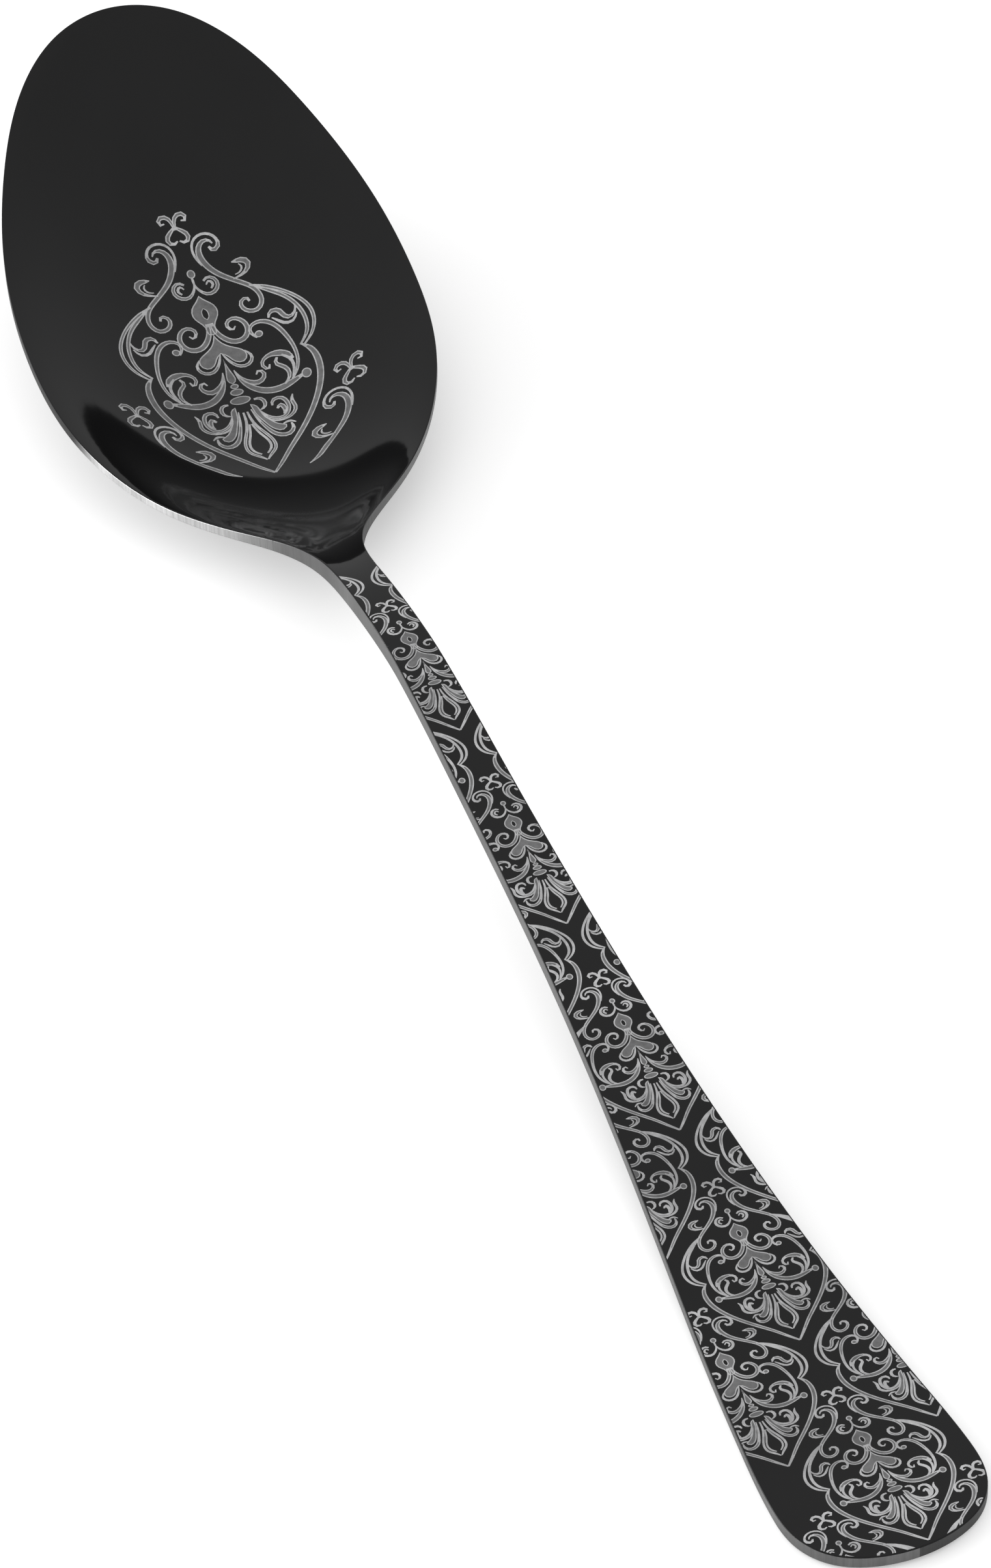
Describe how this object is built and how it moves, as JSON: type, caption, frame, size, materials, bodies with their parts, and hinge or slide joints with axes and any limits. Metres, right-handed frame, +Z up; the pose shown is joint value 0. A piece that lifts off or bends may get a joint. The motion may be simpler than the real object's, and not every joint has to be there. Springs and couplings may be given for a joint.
{
  "type": "table spoon",
  "caption": "Metal table spoon with an egg-shaped bowl, an arched neck and a flat handle that widens to a broad rounded end; black coating with a pale damask ornament.",
  "frame": {"origin": "bottom centre of the bounding box, on the surface the spoon lies on", "axes": "+X from the bowl's tip to the handle's end, +Z up out of the hollow of the bowl, +Y across"},
  "size_m": [0.1998, 0.0394, 0.0212],
  "materials": {
    "black_coating": "gloss black vapour-deposited coating on stainless steel, with a grey etched ornament"
  },
  "bodies": {
    "root": {"bowl": "black_coating", "neck": "black_coating", "handle": "black_coating", "handle_end": "black_coating"}
  },
  "joints": []
}
